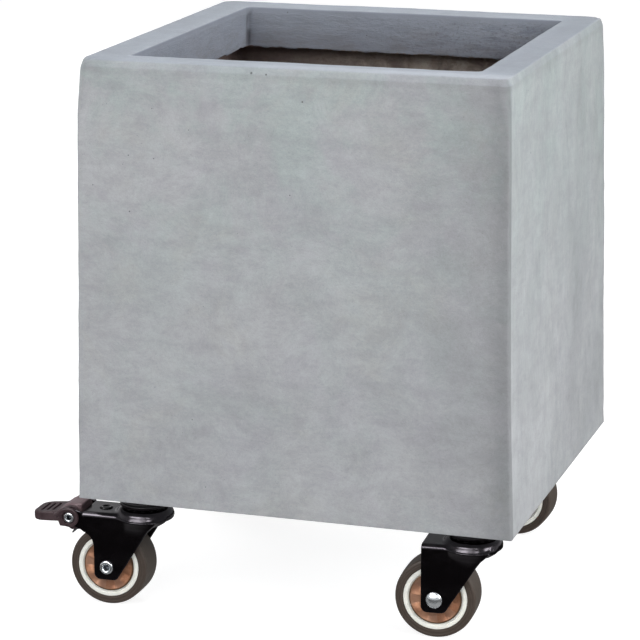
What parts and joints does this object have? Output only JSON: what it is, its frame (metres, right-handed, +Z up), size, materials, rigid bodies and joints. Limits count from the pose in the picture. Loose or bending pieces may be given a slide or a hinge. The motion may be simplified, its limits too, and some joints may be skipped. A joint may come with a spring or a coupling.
{
  "type": "rolling planter",
  "caption": "Square fibre-clay planter with an inward lip, carried on swivel casters with copper-coloured wheel covers and foot brakes.",
  "frame": {"origin": "on the floor, under the centre of the whole object's box, which is longer to the left than the pot because the front left brake pedal reaches past it", "axes": "+Z up, the pot's front face towards -Y, the front left brake pedal towards -X"},
  "size_m": [0.3108, 0.27, 0.3445],
  "materials": {
    "fibre_clay": "matt, mottled cast fibre clay",
    "zinc_steel": "bright zinc plate",
    "black_steel": "gloss black enamel",
    "ball_steel": "polished",
    "black_enamel": "gloss black enamel",
    "bright_rivet": "bright nickel plate",
    "pale_core": "satin moulded plastic",
    "tyre_rubber": "satin thermoplastic rubber",
    "copper_cover": "metallic copper finish",
    "brown_pedal": "fine grained moulded plastic",
    "spring_steel": "blued spring strip"
  },
  "bodies": {
    "planter": {"pot_shell": "fibre_clay", "stem_nuts": "zinc_steel", "stem_washers": "zinc_steel", "front_left_stem": "zinc_steel", "front_left_upper_race": "black_steel", "front_left_lower_race": "zinc_steel", "front_right_stem": "zinc_steel", "front_right_upper_race": "black_steel", "front_right_lower_race": "zinc_steel", "rear_left_stem": "zinc_steel", "rear_left_upper_race": "black_steel", "rear_left_lower_race": "zinc_steel", "rear_right_stem": "zinc_steel", "rear_right_upper_race": "black_steel", "rear_right_lower_race": "zinc_steel"},
    "front_left_swivel": {"front_left_bearing_balls": "ball_steel", "front_left_fork": "black_enamel", "front_left_axle_rivet": "bright_rivet", "front_left_axle_bush": "zinc_steel", "front_left_brake_pin": "bright_rivet", "front_left_brake_leaf": "spring_steel", "front_left_leaf_rivet": "black_steel"},
    "front_left_wheel": {"front_left_wheel_core": "pale_core", "front_left_tyre": "tyre_rubber", "front_left_wheel_covers": "copper_cover"},
    "front_left_brake": {"front_left_brake_pedal": "brown_pedal"},
    "front_right_swivel": {"front_right_bearing_balls": "ball_steel", "front_right_fork": "black_enamel", "front_right_axle_rivet": "bright_rivet", "front_right_axle_bush": "zinc_steel"},
    "front_right_wheel": {"front_right_wheel_core": "pale_core", "front_right_tyre": "tyre_rubber", "front_right_wheel_covers": "copper_cover"},
    "rear_left_swivel": {"rear_left_bearing_balls": "ball_steel", "rear_left_fork": "black_enamel", "rear_left_axle_rivet": "bright_rivet", "rear_left_axle_bush": "zinc_steel"},
    "rear_left_wheel": {"rear_left_wheel_core": "pale_core", "rear_left_tyre": "tyre_rubber", "rear_left_wheel_covers": "copper_cover"},
    "rear_right_swivel": {"rear_right_bearing_balls": "ball_steel", "rear_right_fork": "black_enamel", "rear_right_axle_rivet": "bright_rivet", "rear_right_axle_bush": "zinc_steel", "rear_right_brake_pin": "bright_rivet", "rear_right_brake_leaf": "spring_steel", "rear_right_leaf_rivet": "black_steel"},
    "rear_right_wheel": {"rear_right_wheel_core": "pale_core", "rear_right_tyre": "tyre_rubber", "rear_right_wheel_covers": "copper_cover"},
    "rear_right_brake": {"rear_right_brake_pedal": "brown_pedal"}
  },
  "joints": [
    {"name": "front_left_swivel_turn", "type": "hinge", "parent": "planter", "child": "front_left_swivel", "pos_m": [-0.084, -0.1044, 0.0635], "axis": [0, 0, 1], "continuous": true},
    {"name": "front_left_wheel_spin", "type": "hinge", "parent": "front_left_swivel", "child": "front_left_wheel", "pos_m": [-0.1049, -0.1044, 0.025], "axis": [0, 1, 0], "continuous": true},
    {"name": "front_left_brake_press", "type": "hinge", "parent": "front_left_swivel", "child": "front_left_brake", "pos_m": [-0.1287, -0.1044, 0.0555], "axis": [0, 1, 0], "range_deg": [0, 16]},
    {"name": "front_right_swivel_turn", "type": "hinge", "parent": "planter", "child": "front_right_swivel", "pos_m": [0.1248, -0.1044, 0.0635], "axis": [0, 0, 1], "continuous": true},
    {"name": "front_right_wheel_spin", "type": "hinge", "parent": "front_right_swivel", "child": "front_right_wheel", "pos_m": [0.10393, -0.10549, 0.025], "axis": [-0.0523, 0.9986, 0], "continuous": true},
    {"name": "rear_left_swivel_turn", "type": "hinge", "parent": "planter", "child": "rear_left_swivel", "pos_m": [-0.084, 0.1044, 0.0635], "axis": [0, 0, 1], "continuous": true},
    {"name": "rear_left_wheel_spin", "type": "hinge", "parent": "rear_left_swivel", "child": "rear_left_wheel", "pos_m": [-0.10479, 0.10222, 0.025], "axis": [-0.1045, 0.9945, 0], "continuous": true},
    {"name": "rear_right_swivel_turn", "type": "hinge", "parent": "planter", "child": "rear_right_swivel", "pos_m": [0.1248, 0.1044, 0.0635], "axis": [0, 0, 1], "continuous": true},
    {"name": "rear_right_wheel_spin", "type": "hinge", "parent": "rear_right_swivel", "child": "rear_right_wheel", "pos_m": [0.10391, 0.10513, 0.025], "axis": [0.0349, 0.9994, 0], "continuous": true},
    {"name": "rear_right_brake_press", "type": "hinge", "parent": "rear_right_swivel", "child": "rear_right_brake", "pos_m": [0.08013, 0.10596, 0.0555], "axis": [0.0349, 0.9994, 0], "range_deg": [0, 16]}
  ]
}
